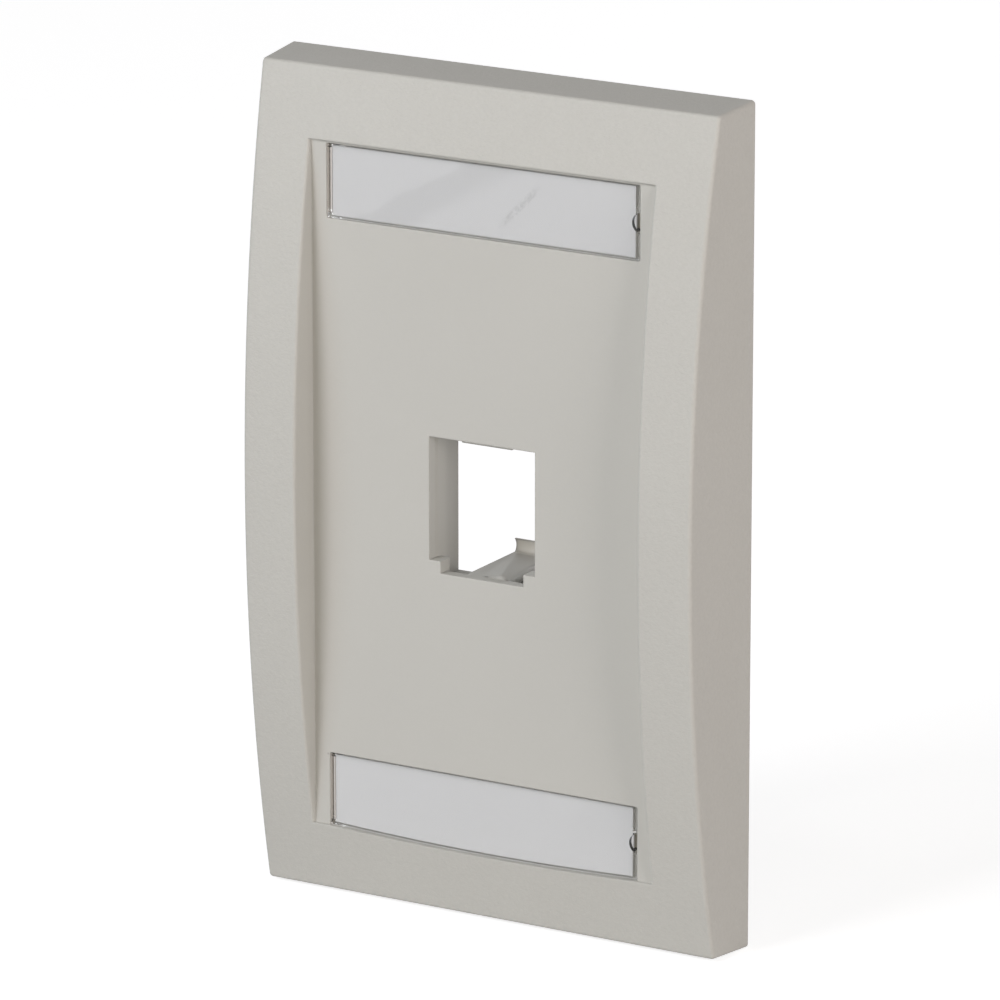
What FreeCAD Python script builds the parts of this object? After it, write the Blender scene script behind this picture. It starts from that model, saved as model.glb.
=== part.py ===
"""Keystone faceplate for a single-gang wall box, with two label windows and one empty jack port.

Frame: the back rim lies in the plane y = 0, against the wall, and the front looks along -Y.
X is to the right as seen from the front, Z is up, and the origin is the centre of the back plane.
All sizes are millimetres.
"""
import FreeCAD, Part
import os
import re

import Sketcher

SIZES = {
    # outer shell
    "plate_width": 69.85,
    "plate_height": 114.3,
    "edge_depth": 8.2,          # depth of the plate at its top and bottom edges
    "arch_rise": 6.2,           # how much further the front stands at mid height
    "draft_slope": 0.07,        # lean of the outer walls, per millimetre of depth
    "edge_round": 0.55,
    "rim_wall": 2.4,            # outer wall, measured at the back rim
    "front_wall": 2.0,
    # sunken panel between the side rails
    "panel_width": 51.8,
    "panel_height": 94.0,
    "panel_depth": 9.7,         # from the wall to the panel's face
    "panel_wall": 1.6,
    "rail_wall": 1.8,
    "rail_round": 0.4,
    # label windows
    "window_width": 47.2,
    "window_height": 10.1,
    "window_corner": 0.3,
    "upper_window_rise": 41.6,  # window centres, from the plate's centre
    "lower_window_drop": 41.95,
    "lower_window_bow": 0.6,    # how far the lower window's bottom edge bows down
    "window_sink": 1.4,
    "window_floor": 1.6,
    "backing_margin": 1.6,
    "hook_slot": 2.4,           # through slot at the left end of each window
    # jack port
    "port_width": 16.06,
    "port_top": 9.0,
    "port_shoulder": 7.85,      # height of the square corner shoulders, below centre
    "port_sill": 9.5,
    "sill_width": 12.6,
    "shoulder_reach": 0.75,     # how far the corner shoulders stand behind the panel
    "housing_wall": 1.3,
    "housing_step": 0.1,        # the housing is this much narrower than the port on each side
    "step_run": 0.5,            # length of the slope that leads into it
    "housing_reach": 5.75,      # how far the housing stands behind the panel
    "housing_floor": 11.0,      # inner floor, below centre
    "catch_width": 8.7,
    "catch_drop": 0.6,
    "catch_length": 1.3,
    "catch_setback": 1.4,       # from the panel's face
    # latch arm
    "arm_width": 6.4,
    "arm_taper": 1.4,           # how much narrower the arm is at its lip, all on its right side
    "arm_thickness": 1.1,
    "arm_length": 13.35,        # behind the panel
    "lip_height": 1.83,
    "lip_foot": 0.88,           # thickness of the lip at its foot
    "lip_lean": 0.12,           # how far its top stands in front of its foot
    "lip_top": 0.4,             # thickness at its top
    "lip_hollow": 1.2,          # radius of its hollow front
    "crown_foot": 2.2,          # where the arm's raised crown begins at the port, from the arm's left side
    "crown_ridge": 5.3,
    "crown_height": 0.55,
    "crown_end_ridge": 0.3,     # the ridge at the lip, from the arm's left side
    "crown_end_height": 0.08,
    # ribs behind the panel
    "rib_thickness": 1.2,
    "rib_height": 3.4,
    # screw wells and screws
    "screw_spacing": 83.34,
    "screw_hole": 4.2,
    "well_bore": 8.2,
    "well_depth": 3.1,
    "well_wall": 1.5,
    "well_floor": 1.6,
    "screw_neck": 2.9,          # plain neck under the head
    "neck_length": 3.2,
    "screw_thread": 3.5,        # over the thread
    "screw_length": 17.5,       # under the head
    "screw_tip": 0.5,
    "head_width": 6.8,
    "head_height": 1.9,
    "head_crown": 0.6,
    "slot_width": 1.0,
    "slot_depth": 0.9,
    # label covers and labels
    "cover_thickness": 0.6,
    "cover_gap": 0.12,          # clearance all round in the window
    "cover_sink": 0.1,          # below the panel's face
    "notch_radius": 1.45,
    "notch_offset": 0.3,        # notch centre, outside the cover's end
    "return_width": 0.8,        # turned-in end beside the notch
    "floor_gap": 0.05,
    "hook_thickness": 0.45,
    "hook_height": 8.8,
    "hook_reach": 2.45,         # from the cover's face to the end of the hook
    "barb_width": 0.5,
    "barb_thickness": 0.35,
    "label_thickness": 0.28,
    "label_gap": 0.05,
    "label_margin": 0.22,
}

CLOSE = 0.001  # places nearer to each other than this count as the same

doc = FreeCAD.newDocument("keystone_faceplate")
sheet = doc.addObject("Spreadsheet::Sheet", "Sizes")


def fill_sheet():
    """One row per driving size: its name, and its value under an alias of the same name."""
    for row, (name, value) in enumerate(SIZES.items(), start=1):
        sheet.set(f"A{row}", name)
        sheet.set(f"B{row}", str(value))
        sheet.setAlias(f"B{row}", name)
    doc.recompute()


def linked(formula):
    """The formula with each size name turned into a reference to the sheet."""
    return re.sub(r"[a-z]\w+", lambda word: "Sizes." + word[0] if word[0] in SIZES else word[0], formula)


def value(formula):
    """What the formula gives now, in millimetres."""
    result = sheet.evalExpression(linked(formula))
    return float(result.Value if hasattr(result, "Value") else result)


# Places that several pieces share, as formulas on the sheet.
ARCH_HALF = "(plate_height / 2 - edge_depth * draft_slope)"
ARCH_RADIUS = f"(({ARCH_HALF} ^ 2 + arch_rise ^ 2) / (2 * arch_rise))"
HOLLOW_HALF_X = "(plate_width / 2 - rim_wall)"
HOLLOW_HALF_Z = "(plate_height / 2 - rim_wall)"
END_HOLLOW = "(edge_depth - front_wall)"
RAIL_RADIUS = f"(({HOLLOW_HALF_Z} ^ 2 + arch_rise ^ 2) / (2 * arch_rise))"
PANEL_BACK = "(panel_depth - panel_wall)"
WINDOW_FLOOR = "(panel_depth - window_sink)"
BACKING = "(panel_depth - window_sink - window_floor)"
WELL_SEAT = "(panel_depth - window_sink - well_depth)"
COVER_FACE = "(panel_depth - cover_sink)"
COVER_BACK = "(panel_depth - cover_sink - cover_thickness)"
COVER_HALF = "(window_width / 2 - cover_gap)"
WINDOWS = {"upper": "upper_window_rise", "lower": "-lower_window_drop"}
SCREWS = {"upper": "screw_spacing / 2", "lower": "-screw_spacing / 2"}


def new_body(label):
    body = doc.addObject("PartDesign::Body", label)
    body.Label = label
    return body


def origin_plane(body, role):
    return [item for item in body.Origin.OriginFeatures if item.Role == role][0]


def new_sketch(body, name, plane, offset="0"):
    """An empty sketch on one of the body's own planes, moved along that plane's normal."""
    sketch = body.newObject("Sketcher::SketchObject", name)
    sketch.AttachmentSupport = [(origin_plane(body, plane), "")]
    sketch.MapMode = "FlatFace"
    sketch.setExpression("AttachmentOffset.Base.z", linked(offset))
    return sketch


def pin_point(sketch, edge, end, across, along):
    """Fix a point of the sketch at two formulas, measured from the sketch's origin."""
    for kind, axis, formula in (("DistanceX", -2, across), ("DistanceY", -1, along)):
        if formula == "0":
            sketch.addConstraint(Sketcher.Constraint("PointOnObject", edge, end, axis))
        else:
            number = sketch.addConstraint(Sketcher.Constraint(kind, -1, 1, edge, end, value(formula)))
            sketch.setExpression(f"Constraints[{number}]", linked(formula))


def add_outline(sketch, corners, arcs=None):
    """A closed outline through the corners, each a pair of formulas.

    arcs maps the number of a side to (radius formula, bulge), where the bulge is +1 for an arc that
    swells to the left of its side's direction and -1 for one that swells to the right. Every arc is
    handed to the sketch anticlockwise, because the sketch turns a clockwise one over.
    """
    arcs = arcs or {}
    points = [FreeCAD.Vector(value(across), value(along), 0) for across, along in corners]
    edges = []
    for side, start in enumerate(points):
        end = points[(side + 1) % len(points)]
        if side in arcs:
            radius, bulge = arcs[side]
            half = (end - start) * 0.5
            left = FreeCAD.Vector(-half.y, half.x, 0).normalize() * bulge
            rise = value(radius) - (value(radius) ** 2 - half.Length ** 2) ** 0.5
            crest = start + half + left * rise
            curve = Part.Arc(end, crest, start) if bulge > 0 else Part.Arc(start, crest, end)
        else:
            curve = Part.LineSegment(start, end)
        edges.append(sketch.addGeometry(curve))
    starts = {}
    ends = {}
    for side, edge in enumerate(edges):
        backwards = (sketch.Geometry[edge].StartPoint - points[side]).Length > CLOSE
        starts[edge] = 2 if backwards else 1
        ends[edge] = 1 if backwards else 2
    for side, edge in enumerate(edges):
        after = edges[(side + 1) % len(edges)]
        sketch.addConstraint(Sketcher.Constraint("Coincident", edge, ends[edge], after, starts[after]))
        pin_point(sketch, edge, starts[edge], *corners[side])
    for side, (radius, _bulge) in arcs.items():
        number = sketch.addConstraint(Sketcher.Constraint("Radius", edges[side], value(radius)))
        sketch.setExpression(f"Constraints[{number}]", linked(radius))


def add_rectangle(sketch, left, right, low, high):
    add_outline(sketch, [(left, low), (right, low), (right, high), (left, high)])


def add_circle(sketch, across, along, radius):
    middle = FreeCAD.Vector(value(across), value(along), 0)
    curve = Part.Circle(middle, FreeCAD.Vector(0, 0, 1), value(radius))
    edge = sketch.addGeometry(curve)
    pin_point(sketch, edge, 3, across, along)
    number = sketch.addConstraint(Sketcher.Constraint("Radius", edge, value(radius)))
    sketch.setExpression(f"Constraints[{number}]", linked(radius))


def extrude(body, kind, sketch, length=None, reverse=False, midplane=False):
    """Pad or pocket a sketch. With no length, a pocket cuts through everything on its side."""
    feature = body.newObject(f"PartDesign::{kind}", f"{sketch.Name}_{kind.lower()}")
    feature.Profile = sketch
    feature.Reversed = reverse
    feature.Midplane = midplane
    if length is None:
        feature.Type = "ThroughAll"
    else:
        feature.Type = "Length"
        feature.setExpression("Length", linked(length))
    sketch.Visibility = False
    return feature


def front_sketch(body, name, depth):
    """A sketch that faces the front, at a depth from the wall: X across, Z up."""
    return new_sketch(body, name, "XZ_Plane", depth)


def edges_of(feature, wanted):
    """Names of the feature's edges for which wanted(edge) holds."""
    return [f"Edge{n}" for n, edge in enumerate(feature.Shape.Edges, start=1) if wanted(edge)]


def round_edges(body, name, base, wanted, radius):
    doc.recompute()
    fillet = body.newObject("PartDesign::Fillet", name)
    fillet.Base = (base, edges_of(base, wanted))
    fillet.setExpression("Radius", linked(radius))
    return fillet


# ---------------------------------------------------------------- faceplate
def outer_shell(body):
    """The solid outer form: an arched front with leaning walls and rounded edges."""
    profile = new_sketch(body, "arch_profile", "YZ_Plane")
    add_outline(
        profile,
        [
            ("0", "-plate_height / 2"),
            ("0", "plate_height / 2"),
            ("-edge_depth", ARCH_HALF),
            ("-edge_depth", f"-{ARCH_HALF}"),
        ],
        arcs={2: (ARCH_RADIUS, -1)},
    )
    extrude(body, "Pad", profile, "plate_width", midplane=True)

    reach = "(edge_depth + arch_rise + 1)"
    taper = new_sketch(body, "side_taper", "XY_Plane")
    for sign in ("", "-"):
        add_outline(
            taper,
            [
                (f"{sign}plate_width / 2", "0"),
                (f"{sign}(plate_width / 2 + 1)", "0"),
                (f"{sign}(plate_width / 2 + 1)", f"-{reach}"),
                (f"{sign}(plate_width / 2 - {reach} * draft_slope)", f"-{reach}"),
            ],
        )
    tapered = extrude(body, "Pocket", taper, midplane=True)

    def stands_forward(edge):
        return edge.BoundBox.YMin < -CLOSE

    round_edges(body, "outer_rounds", tapered, stands_forward, "edge_round")


def mirror_across(body, feature, name):
    """The same feature on the left side of the plate."""
    pair = body.newObject("PartDesign::Mirrored", name)
    pair.Originals = [feature]
    pair.MirrorPlane = (origin_plane(body, "YZ_Plane"), [""])
    body.Tip = pair


def sunken_panel(body):
    """The flat panel between the side rails, cut from the front."""
    mouth = front_sketch(body, "panel_mouth", "panel_depth")
    add_rectangle(mouth, "-panel_width / 2", "panel_width / 2", "-panel_height / 2", "panel_height / 2")
    extrude(body, "Pocket", mouth, reverse=True)


def rail_rounds(body):
    """The inner edge of each rail, rounded by a small section turned about the arch's axis."""
    crest = "(edge_depth + arch_rise)"
    wall = "panel_width / 2"
    section = new_sketch(body, "rail_round_section", "XY_Plane")
    add_outline(
        section,
        [
            (f"{wall} + rail_round", f"-{crest}"),
            (wall, f"-{crest} + rail_round"),
            (f"{wall} - rail_round", f"-{crest} + rail_round"),
            (f"{wall} - rail_round", f"-{crest} - rail_round"),
            (f"{wall} + rail_round", f"-{crest} - rail_round"),
        ],
        arcs={0: ("rail_round", 1)},
    )
    centre = f"{ARCH_RADIUS} - {crest}"
    start = FreeCAD.Vector(0, value(centre), 0)
    end = FreeCAD.Vector(value(wall), value(centre), 0)
    axis = section.addGeometry(Part.LineSegment(start, end), True)
    pin_point(section, axis, 1, "0", centre)
    pin_point(section, axis, 2, wall, centre)
    turned = body.newObject("PartDesign::Groove", "rail_round")
    turned.Profile = section
    turned.ReferenceAxis = (section, ["Axis0"])
    turned.Midplane = True
    turned.setExpression("Angle", linked(f"2 * asin(panel_height / 2 / {ARCH_RADIUS})"))
    section.Visibility = False
    mirror_across(body, turned, "rail_rounds")


def open_back(body):
    """The hollow behind: a shallow well over the whole back, a deeper one and a channel in each rail."""
    rim = front_sketch(body, "end_hollow", "0")
    add_rectangle(rim, f"-{HOLLOW_HALF_X}", HOLLOW_HALF_X, f"-{HOLLOW_HALF_Z}", HOLLOW_HALF_Z)
    extrude(body, "Pocket", rim, END_HOLLOW, reverse=True)

    half_z = "(panel_height / 2 + rim_wall)"
    centre = front_sketch(body, "panel_hollow", "0")
    add_rectangle(centre, f"-{HOLLOW_HALF_X}", HOLLOW_HALF_X, f"-{half_z}", half_z)
    extrude(body, "Pocket", centre, PANEL_BACK, reverse=True)

    inner_edge = "(panel_width / 2 + rail_wall)"
    channel = new_sketch(body, "rail_channel", "YZ_Plane", inner_edge)
    add_outline(
        channel,
        [
            ("0", f"-{HOLLOW_HALF_Z}"),
            ("0", HOLLOW_HALF_Z),
            (f"-{END_HOLLOW}", HOLLOW_HALF_Z),
            (f"-{END_HOLLOW}", f"-{HOLLOW_HALF_Z}"),
        ],
        arcs={2: (RAIL_RADIUS, -1)},
    )
    cut = extrude(body, "Pocket", channel, f"{HOLLOW_HALF_X} - {inner_edge}", reverse=True)
    mirror_across(body, cut, "rail_channels")


def window_outline(sketch, side, inset, left, right):
    """The window's outline drawn in by an inset; the lower window's bottom edge bows down."""
    middle = WINDOWS[side]
    low = f"({middle} - window_height / 2 + {inset})"
    high = f"({middle} + window_height / 2 - {inset})"
    corners = [(left, low), (right, low), (right, high), (left, high)]
    arcs = {}
    if side == "lower":
        half = f"(({right} - ({left})) / 2)"
        arcs[0] = (f"({half} ^ 2 + lower_window_bow ^ 2) / (2 * lower_window_bow)", -1)
    add_outline(sketch, corners, arcs)


def round_window_corners(body, side, window):
    """Rounds a window's corners, but not the two low ones that meet the panel's end wall."""
    middle = value(WINDOWS[side])
    half_width = value("window_width / 2")
    half_height = value("window_height / 2")
    end_wall = -value("panel_height / 2")
    face = -value("panel_depth")

    def at_corner(edge):
        box = edge.BoundBox
        level = box.XLength < CLOSE and box.ZLength < CLOSE and box.YMin < face + CLOSE
        across = abs(abs(box.XMin) - half_width) < CLOSE
        along = abs(abs(box.ZMin - middle) - half_height) < CLOSE
        return level and across and along and box.ZMin > end_wall + CLOSE

    round_edges(body, f"{side}_window_corners", window, at_corner, "window_corner")


def label_windows(body):
    """Behind each window a backing and a screw well; in front the recess, its slot and the screw hole."""
    for side, middle in WINDOWS.items():
        backing = front_sketch(body, f"{side}_backing", PANEL_BACK)
        right = "window_width / 2 + backing_margin"
        half_z = "(window_height / 2 + backing_margin)"
        add_rectangle(backing, "-window_width / 2", right, f"{middle} - {half_z}", f"{middle} + {half_z}")
        extrude(body, "Pad", backing, f"{PANEL_BACK} - {BACKING}", reverse=True)

        boss = front_sketch(body, f"{side}_boss", BACKING)
        add_circle(boss, "0", SCREWS[side], "well_bore / 2 + well_wall")
        extrude(body, "Pad", boss, f"{BACKING} - {WELL_SEAT} + well_floor", reverse=True)

        window = front_sketch(body, f"{side}_window", WINDOW_FLOOR)
        window_outline(window, side, "0", "-window_width / 2", "window_width / 2")
        extrude(body, "Pocket", window, reverse=True)

        slot = front_sketch(body, f"{side}_slot", "panel_depth")
        low = f"{middle} - window_height / 2"
        high = f"{middle} + window_height / 2"
        add_rectangle(slot, "-window_width / 2", "-window_width / 2 + hook_slot", low, high)
        through = extrude(body, "Pocket", slot, "panel_depth")
        round_window_corners(body, side, through)

        well = front_sketch(body, f"{side}_well", WINDOW_FLOOR)
        add_circle(well, "0", SCREWS[side], "well_bore / 2")
        extrude(body, "Pocket", well, "well_depth")

        hole = front_sketch(body, f"{side}_screw_hole", WELL_SEAT)
        add_circle(hole, "0", SCREWS[side], "screw_hole / 2")
        extrude(body, "Pocket", hole)


def jack_port(body):
    """The port through the panel, with its stepped sill, the housing behind it and the top catch."""
    inner = "(port_width / 2 - housing_step)"
    outer = "(port_width / 2 + housing_wall)"
    ceiling = "(port_top + housing_step)"
    ground = "-(housing_floor + housing_wall / 2)"
    lowest = "-(housing_floor + housing_wall)"
    housing = front_sketch(body, "port_housing", PANEL_BACK)
    add_rectangle(housing, f"-{outer}", outer, lowest, f"{ceiling} + housing_wall")
    extrude(body, "Pad", housing, "housing_reach", reverse=True)

    bore = front_sketch(body, "housing_bore", PANEL_BACK)
    add_rectangle(bore, f"-{inner}", inner, "-housing_floor", ceiling)
    extrude(body, "Pocket", bore)

    corner = "(port_width / 2 + housing_wall / 2)"
    shoulders = front_sketch(body, "corner_shoulders", PANEL_BACK)
    add_rectangle(shoulders, "sill_width / 2", corner, ground, "-port_shoulder")
    add_rectangle(shoulders, f"-{corner}", "-sill_width / 2", ground, "-port_shoulder")
    extrude(body, "Pad", shoulders, "shoulder_reach", reverse=True)

    opening = front_sketch(body, "port_opening", PANEL_BACK)
    add_outline(
        opening,
        [
            ("-sill_width / 2", "-port_sill"),
            ("sill_width / 2", "-port_sill"),
            ("sill_width / 2", "-port_shoulder"),
            ("port_width / 2", "-port_shoulder"),
            ("port_width / 2", "port_top"),
            ("-port_width / 2", "port_top"),
            ("-port_width / 2", "-port_shoulder"),
            ("-sill_width / 2", "-port_shoulder"),
        ],
    )
    extrude(body, "Pocket", opening, reverse=True)

    slope = new_sketch(body, "housing_lead_in", "XY_Plane", "-port_shoulder")
    for sign in ("", "-"):
        add_outline(
            slope,
            [
                (f"{sign}port_width / 2", f"-{PANEL_BACK}"),
                (f"{sign}(port_width / 2 - 2 * housing_step)", f"-{PANEL_BACK}"),
                (f"{sign}(port_width / 2 - 2 * housing_step)", f"-{PANEL_BACK} + 2 * step_run"),
            ],
        )
    extrude(body, "Pocket", slope, f"port_shoulder + {ceiling}", reverse=True)

    catch = front_sketch(body, "top_catch", "panel_depth - catch_setback")
    top = f"{ceiling} + housing_wall / 2"
    tip = "port_top - catch_drop"
    add_outline(
        catch,
        [
            ("-catch_width / 2", top),
            ("-catch_width / 2", "port_top"),
            ("-catch_width / 2 + catch_drop", tip),
            ("catch_width / 2 - catch_drop", tip),
            ("catch_width / 2", "port_top"),
            ("catch_width / 2", top),
        ],
    )
    extrude(body, "Pad", catch, "catch_length", reverse=True)


def back_ribs(body):
    """Ribs on the panel's back: upright ones to the screw wells, level ones out to the rails."""
    half = "rib_thickness / 2"
    housing_top = "port_top + housing_step"
    housing_low = "housing_floor"
    housing_side = "port_width / 2 + housing_wall / 2"
    well_edge = "(screw_spacing / 2 - well_bore / 2 - well_wall / 2)"
    rail = "(panel_width / 2 + rail_wall / 2)"

    upright = front_sketch(body, "upright_ribs", PANEL_BACK)
    add_rectangle(upright, f"-{half}", half, f"{housing_top} + housing_wall / 2", well_edge)
    add_rectangle(upright, f"-{half}", half, f"-{well_edge}", f"-({housing_low} + housing_wall / 2)")
    extrude(body, "Pad", upright, "rib_height", reverse=True)

    level = front_sketch(body, "level_ribs", PANEL_BACK)
    for start, end in ((housing_side, rail), (f"-{rail}", f"-({housing_side})")):
        add_rectangle(level, start, end, housing_top, f"{housing_top} + rib_thickness")
        add_rectangle(level, start, end, f"-({housing_low} + rib_thickness)", f"-{housing_low}")
    extrude(body, "Pad", level, "rib_height", reverse=True)


def latch_arm(body):
    """The springy arm that reaches back from under the port, with a crown on top and a hollow-faced lip."""
    root = f"-({PANEL_BACK} + panel_wall / 4)"
    tip = f"(arm_length - {PANEL_BACK})"
    lip_top = "-port_sill + lip_height"
    profile = new_sketch(body, "arm_profile", "YZ_Plane")
    add_outline(
        profile,
        [
            (root, "-port_sill - arm_thickness"),
            (tip, "-port_sill - arm_thickness"),
            (tip, "-port_sill + lip_height / 2"),
            (f"{tip} - lip_foot - lip_lean + lip_top", lip_top),
            (f"{tip} - lip_foot - lip_lean", lip_top),
            (f"{tip} - lip_foot", "-port_sill"),
            (root, "-port_sill"),
        ],
        arcs={4: ("lip_hollow", 1)},
    )
    extrude(body, "Pad", profile, "arm_width", midplane=True)
    arm_crown(body, f"-({tip} - lip_foot / 2)")

    side_trim = new_sketch(body, "arm_side_trim", "XY_Plane", lip_top)
    outside = "arm_width / 2 + arm_taper"
    behind = f"{tip} + arm_thickness"
    add_outline(
        side_trim,
        [
            ("arm_width / 2", f"-{PANEL_BACK}"),
            (outside, f"-{PANEL_BACK}"),
            (outside, behind),
            ("arm_width / 2 - arm_taper * (arm_length + arm_thickness) / arm_length", behind),
        ],
    )
    clearance = "(housing_floor - port_sill - arm_thickness)"
    extrude(body, "Pocket", side_trim, f"lip_height + arm_thickness + {clearance} / 2")


def arm_crown(body, end_depth):
    """The low crown on the arm: its ridge runs from the port's right side to the lip's left end."""
    left = "arm_width / 2"
    sections = []
    for name, depth, foot, ridge, height in (
        ("crown_start", PANEL_BACK, "crown_foot", "crown_ridge", "crown_height"),
        ("crown_end", end_depth, "0", "crown_end_ridge", "crown_end_height"),
    ):
        section = front_sketch(body, name, depth)
        add_outline(
            section,
            [
                (f"{foot} - {left}", "-port_sill"),
                (left, "-port_sill"),
                (f"{ridge} - {left}", f"-port_sill + {height}"),
            ],
        )
        section.Visibility = False
        sections.append(section)
    crown = body.newObject("PartDesign::AdditiveLoft", "arm_crown")
    crown.Profile = sections[0]
    crown.Sections = sections[1:]
    crown.Ruled = True


def make_faceplate():
    body = new_body("faceplate")
    outer_shell(body)
    sunken_panel(body)
    rail_rounds(body)
    open_back(body)
    label_windows(body)
    jack_port(body)
    back_ribs(body)
    latch_arm(body)


# ---------------------------------------------------------------- label covers and labels
def make_cover(side):
    """A clear strip: hooked at its left end, turned in and notched at its right end."""
    middle = WINDOWS[side]
    body = new_body(f"{side}_label_cover")
    strip = front_sketch(body, f"{side}_strip", COVER_BACK)
    window_outline(strip, side, "cover_gap", f"-{COVER_HALF}", COVER_HALF)
    extrude(body, "Pad", strip, "cover_thickness")

    hook = front_sketch(body, f"{side}_hook", COVER_BACK)
    low = f"{middle} - hook_height / 2"
    high = f"{middle} + hook_height / 2"
    add_rectangle(hook, f"-{COVER_HALF}", f"-{COVER_HALF} + hook_thickness", low, high)
    extrude(body, "Pad", hook, "hook_reach - cover_thickness", reverse=True)

    barb = front_sketch(body, f"{side}_barb", f"{COVER_FACE} - hook_reach")
    add_rectangle(barb, f"-{COVER_HALF} - barb_width", f"-{COVER_HALF} + hook_thickness / 2", low, high)
    extrude(body, "Pad", barb, "barb_thickness", reverse=True)

    turned_end = front_sketch(body, f"{side}_return", COVER_BACK)
    low = f"{middle} - window_height / 2 + cover_gap"
    high = f"{middle} + window_height / 2 - cover_gap"
    add_rectangle(turned_end, f"{COVER_HALF} - return_width", COVER_HALF, low, high)
    extrude(body, "Pad", turned_end, f"{COVER_BACK} - {WINDOW_FLOOR} - floor_gap", reverse=True)

    notch = front_sketch(body, f"{side}_notch", "panel_depth")
    add_circle(notch, f"{COVER_HALF} + notch_offset", middle, "notch_radius")
    extrude(body, "Pocket", notch)


def make_label(side):
    """A card strip tucked behind the cover, between its hook and its turned-in end."""
    body = new_body(f"{side}_label")
    card = front_sketch(body, f"{side}_card", f"{COVER_BACK} - label_gap")
    left = f"(-{COVER_HALF} + hook_thickness + label_gap)"
    right = f"({COVER_HALF} - return_width - label_gap)"
    window_outline(card, side, "(cover_gap + label_margin)", left, right)
    extrude(body, "Pad", card, "label_thickness", reverse=True)


# ---------------------------------------------------------------- screws
def make_screw(side):
    """A round-head machine screw: driver slot, plain neck, then the thread to its chamfered end."""
    body = new_body(f"{side}_screw")
    seat = f"-{WELL_SEAT}"
    crown_base = f"({seat} - head_height + head_crown)"
    profile = new_sketch(body, f"{side}_screw_profile", "YZ_Plane")
    axis = SCREWS[side]
    neck = f"({axis} + screw_neck / 2)"
    thread = f"({axis} + screw_thread / 2)"
    head = f"({axis} + head_width / 2)"
    crown_radius = "(((head_width / 2) ^ 2 + head_crown ^ 2) / (2 * head_crown))"
    tip = f"({seat} + screw_length)"
    add_outline(
        profile,
        [
            (tip, axis),
            (tip, f"{thread} - screw_tip"),
            (f"{tip} - screw_tip", thread),
            (f"{seat} + neck_length", thread),
            (f"{seat} + neck_length", neck),
            (seat, neck),
            (seat, head),
            (crown_base, head),
            (f"{crown_base} - head_crown", axis),
        ],
        arcs={7: (crown_radius, -1)},
    )
    turned = body.newObject("PartDesign::Revolution", f"{side}_screw_turned")
    turned.Profile = profile
    turned.ReferenceAxis = (profile, ["Edge9"])
    turned.Angle = 360
    profile.Visibility = False

    slot = front_sketch(body, f"{side}_driver_slot", f"{WELL_SEAT} + head_height - slot_depth")
    half_x = "head_width"
    add_rectangle(slot, f"-{half_x}", half_x, f"{axis} - slot_width / 2", f"{axis} + slot_width / 2")
    extrude(body, "Pocket", slot, reverse=True)


def check_document():
    """Every object is up to date, and every body is one valid solid."""
    doc.recompute()
    for item in doc.Objects:
        if "Invalid" in item.State or "Error" in item.State:
            raise RuntimeError(f"{item.Label} failed: {item.State}")
    bodies = [item for item in doc.Objects if item.TypeId == "PartDesign::Body"]
    for body in bodies:
        if body.Shape.isNull() or not body.Shape.isValid() or len(body.Shape.Solids) != 1:
            raise RuntimeError(f"{body.Label} is not one valid solid")
    return bodies


def write_steps(bodies):
    os.makedirs("parts", exist_ok=True)
    for body in bodies:
        body.Shape.exportStep(f"parts/{body.Label}.step")
        print(body.Label, round(body.Shape.Volume, 2), "mm3", len(body.Shape.Faces), "faces")


fill_sheet()
make_faceplate()
for window in WINDOWS:
    make_label(window)
    make_cover(window)
    make_screw(window)
write_steps(check_document())
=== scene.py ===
import math

import bpy
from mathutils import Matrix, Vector


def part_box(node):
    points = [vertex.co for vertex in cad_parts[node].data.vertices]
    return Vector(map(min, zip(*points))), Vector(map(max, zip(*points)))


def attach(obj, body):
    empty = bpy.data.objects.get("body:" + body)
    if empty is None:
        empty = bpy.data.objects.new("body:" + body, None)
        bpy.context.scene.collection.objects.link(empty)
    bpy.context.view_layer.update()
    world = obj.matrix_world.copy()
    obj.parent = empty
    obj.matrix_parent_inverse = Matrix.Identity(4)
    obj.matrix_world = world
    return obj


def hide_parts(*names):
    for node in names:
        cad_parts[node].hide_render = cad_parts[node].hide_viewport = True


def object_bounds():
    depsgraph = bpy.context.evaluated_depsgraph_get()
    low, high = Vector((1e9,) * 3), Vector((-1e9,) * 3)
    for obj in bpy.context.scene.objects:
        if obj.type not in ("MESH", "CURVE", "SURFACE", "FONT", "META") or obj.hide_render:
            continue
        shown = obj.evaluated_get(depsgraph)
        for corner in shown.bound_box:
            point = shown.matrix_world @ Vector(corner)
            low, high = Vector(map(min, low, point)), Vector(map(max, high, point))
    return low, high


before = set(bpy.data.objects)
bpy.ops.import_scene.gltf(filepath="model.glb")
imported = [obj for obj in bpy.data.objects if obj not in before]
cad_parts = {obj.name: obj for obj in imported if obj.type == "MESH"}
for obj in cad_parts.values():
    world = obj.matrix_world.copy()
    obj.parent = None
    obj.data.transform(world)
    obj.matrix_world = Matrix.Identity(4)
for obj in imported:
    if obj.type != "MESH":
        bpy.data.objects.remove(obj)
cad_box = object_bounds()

bl_info = {
    "name": "Keystone Faceplate",
    "version": (1, 0, 0),
    "blender": (4, 5, 0),
    "location": "View3D > Sidebar > Faceplate",
    "description": "Dresses a single-gang keystone faceplate with its moulded, printed and threaded finishes",
    "category": "Object",
}

MM = 0.001

# Where the parts of the plate lie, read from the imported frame.
PLATE_LOW, PLATE_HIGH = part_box("faceplate")
LABEL_LOW, LABEL_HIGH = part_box("upper_label")
LOWER_LABEL_LOW, LOWER_LABEL_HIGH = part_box("lower_label")
SCREW_LOW, SCREW_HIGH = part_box("upper_screw")
LOWER_SCREW_LOW, LOWER_SCREW_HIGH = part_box("lower_screw")

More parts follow.
